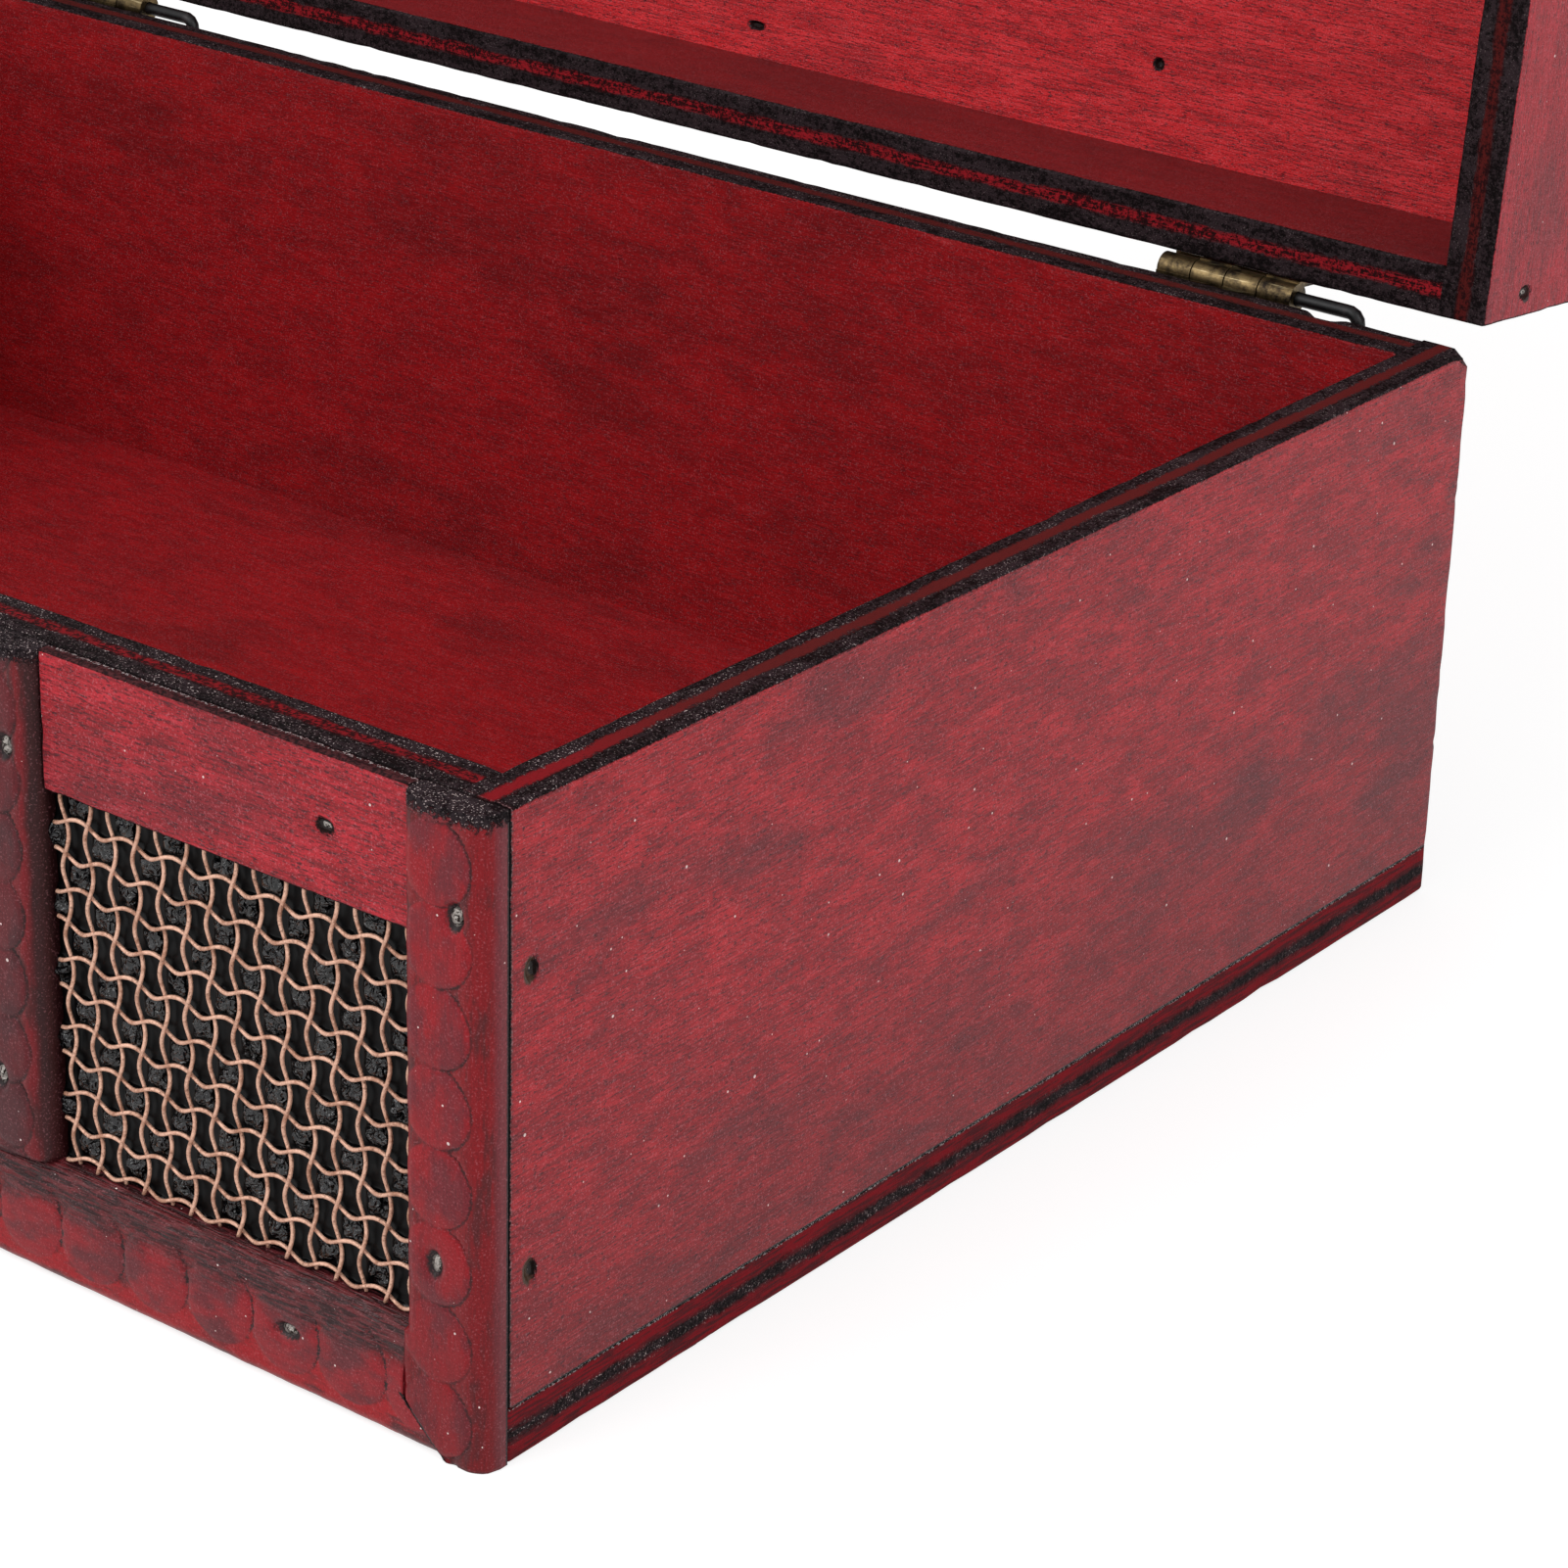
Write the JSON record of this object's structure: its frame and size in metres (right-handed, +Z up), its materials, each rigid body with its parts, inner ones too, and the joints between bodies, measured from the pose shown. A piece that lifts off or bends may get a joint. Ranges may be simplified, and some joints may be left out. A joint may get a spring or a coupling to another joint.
{
  "type": "keepsake box",
  "caption": "Red stained plywood keepsake box with a hinged tray lid, carved mouldings and copper wire mesh windows over black backing on its front.",
  "frame": {"origin": "middle of the underside of the floor panel, where the box rests", "axes": "+X to the right along the box's length, +Y from the decorated front to the hinged back, +Z up"},
  "size_m": [0.21, 0.1858, 0.201],
  "materials": {
    "stained_plywood": "satin",
    "stained_moulding": "satin",
    "black_backing": "satin",
    "copper_wire": "satin",
    "antique_brass": "satin",
    "black_wire": "satin",
    "brad_steel": "worn"
  },
  "bodies": {
    "base": {"base_back_panel": "stained_plywood", "base_floor_panel": "stained_plywood", "base_front_panel": "stained_plywood", "base_left_side": "stained_plywood", "base_right_side": "stained_plywood", "bottom_moulding": "stained_moulding", "bottom_moulding_brads": "brad_steel", "divider_moulding_1": "stained_moulding", "divider_moulding_2": "stained_moulding", "divider_moulding_3": "stained_moulding", "floor_brads": "brad_steel", "front_strip_1": "stained_plywood", "front_strip_2": "stained_plywood", "front_strip_3": "stained_plywood", "front_strip_4": "stained_plywood", "hinge_base_nails": "antique_brass", "left_corner_moulding": "stained_moulding", "left_hinge_base_leaf": "antique_brass", "left_hinge_pin": "black_wire", "mesh_backing_1": "black_backing", "mesh_backing_2": "black_backing", "mesh_backing_3": "black_backing", "mesh_backing_4": "black_backing", "post_brads": "brad_steel", "right_corner_moulding": "stained_moulding", "right_hinge_base_leaf": "antique_brass", "right_hinge_pin": "black_wire", "side_brads": "brad_steel", "strip_brads": "brad_steel", "wire_mesh_1": "copper_wire", "wire_mesh_2": "copper_wire", "wire_mesh_3": "copper_wire", "wire_mesh_4": "copper_wire"},
    "lid": {"batten_brads": "brad_steel", "hinge_lid_nails": "antique_brass", "left_hinge_lid_leaf": "antique_brass", "lid_back_rail": "stained_plywood", "lid_batten_1": "stained_moulding", "lid_batten_2": "stained_moulding", "lid_batten_3": "stained_moulding", "lid_batten_4": "stained_moulding", "lid_batten_5": "stained_moulding", "lid_front_rail": "stained_plywood", "lid_left_rail": "stained_plywood", "lid_post_1": "stained_moulding", "lid_post_2": "stained_moulding", "lid_post_3": "stained_moulding", "lid_post_4": "stained_moulding", "lid_post_5": "stained_moulding", "lid_rail_brads": "brad_steel", "lid_right_rail": "stained_plywood", "lid_strip_1": "stained_plywood", "lid_strip_2": "stained_plywood", "lid_strip_3": "stained_plywood", "lid_strip_4": "stained_plywood", "lid_top_panel": "stained_plywood", "right_hinge_lid_leaf": "antique_brass"}
  },
  "joints": [
    {"name": "lid_hinge", "type": "hinge", "parent": "base", "child": "lid", "pos_m": [0, 0.07165, 0.05715], "axis": [1, 0, 0], "range_deg": [0, 96]}
  ]
}
